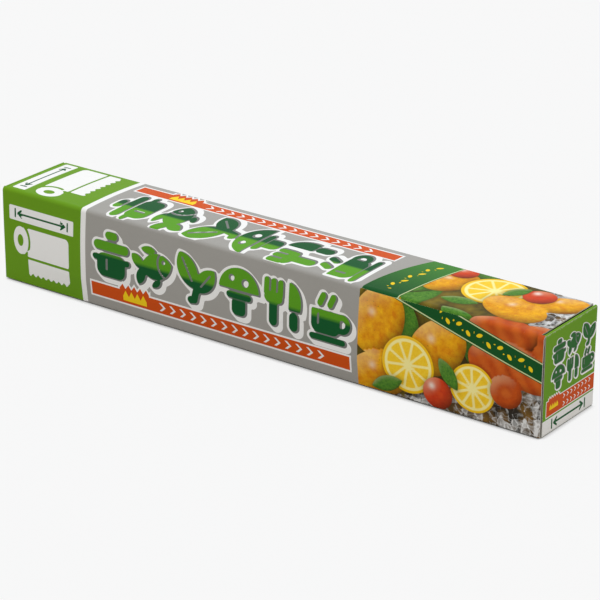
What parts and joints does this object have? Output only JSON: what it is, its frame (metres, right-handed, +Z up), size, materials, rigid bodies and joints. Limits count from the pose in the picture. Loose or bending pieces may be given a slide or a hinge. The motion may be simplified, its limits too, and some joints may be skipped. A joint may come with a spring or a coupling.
{
  "type": "boxed aluminium foil roll",
  "caption": "Kitchen foil wound on a cardboard core, lying in its printed dispenser carton with a hinged lid and a toothed paper cutting strip.",
  "frame": {"origin": "centre of the carton's underside, where it stands on the table", "axes": "+X along the roll, -Y towards the flap that carries the cutting strip, +Z up"},
  "size_m": [0.256, 0.0382, 0.0405],
  "materials": {
    "printed_card": "coated, satin",
    "printed_lid_card": "coated, satin",
    "hard_paper": "matt",
    "core_card": "matt",
    "foil": "bright"
  },
  "bodies": {
    "carton": {"carton_body": "printed_card", "core_tube": "core_card", "foil_roll": "foil"},
    "lid": {"lid": "printed_lid_card", "paper_blade": "hard_paper"}
  },
  "joints": [
    {"name": "lid_hinge", "type": "hinge", "parent": "carton", "child": "lid", "pos_m": [0, 0.01852, 0.03998], "axis": [-1, 0, 0], "range_deg": [0, 180]}
  ]
}
